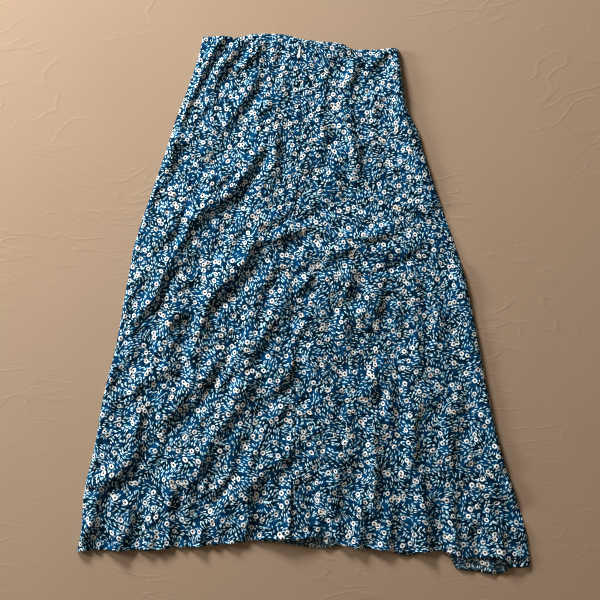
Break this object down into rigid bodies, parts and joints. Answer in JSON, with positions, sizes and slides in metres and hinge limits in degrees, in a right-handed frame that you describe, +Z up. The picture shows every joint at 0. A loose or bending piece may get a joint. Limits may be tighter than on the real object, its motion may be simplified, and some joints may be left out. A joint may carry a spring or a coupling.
{
  "type": "midi skirt laid flat",
  "caption": "A-line midi skirt in small floral print crepe, laid flat with its back up, with a centre back seam, a concealed zip and a narrow turned hem.",
  "frame": {"origin": "middle of the footprint, on the surface that the skirt lies on", "axes": "+Z up, away from the surface; +Y along the skirt towards its waist; +X to the right as it lies"},
  "size_m": [0.748, 0.891, 0.0162],
  "materials": {
    "printed_crepe": "matte light crepe with a small white floral print",
    "printed_crepe_inside": "matte, the print showing through paler",
    "zip_tape": "fine woven tape",
    "slider": "semi-gloss paint",
    "pull": "gloss paint"
  },
  "bodies": {
    "skirt": {"front_panel": "printed_crepe_inside", "front_facing": "printed_crepe", "back_left_panel": "printed_crepe", "back_right_panel": "printed_crepe", "zip_tape_left": "zip_tape", "zip_tape_right": "zip_tape", "zip_slider": "slider"},
    "zip_pull": {"zip_pull": "pull"}
  },
  "joints": [
    {"name": "pull_swing", "type": "hinge", "parent": "skirt", "child": "zip_pull", "pos_m": [-0.00588, 0.425, 0.00772], "axis": [-0.9877, 0.1564, 0], "range_deg": [0, 150]}
  ]
}
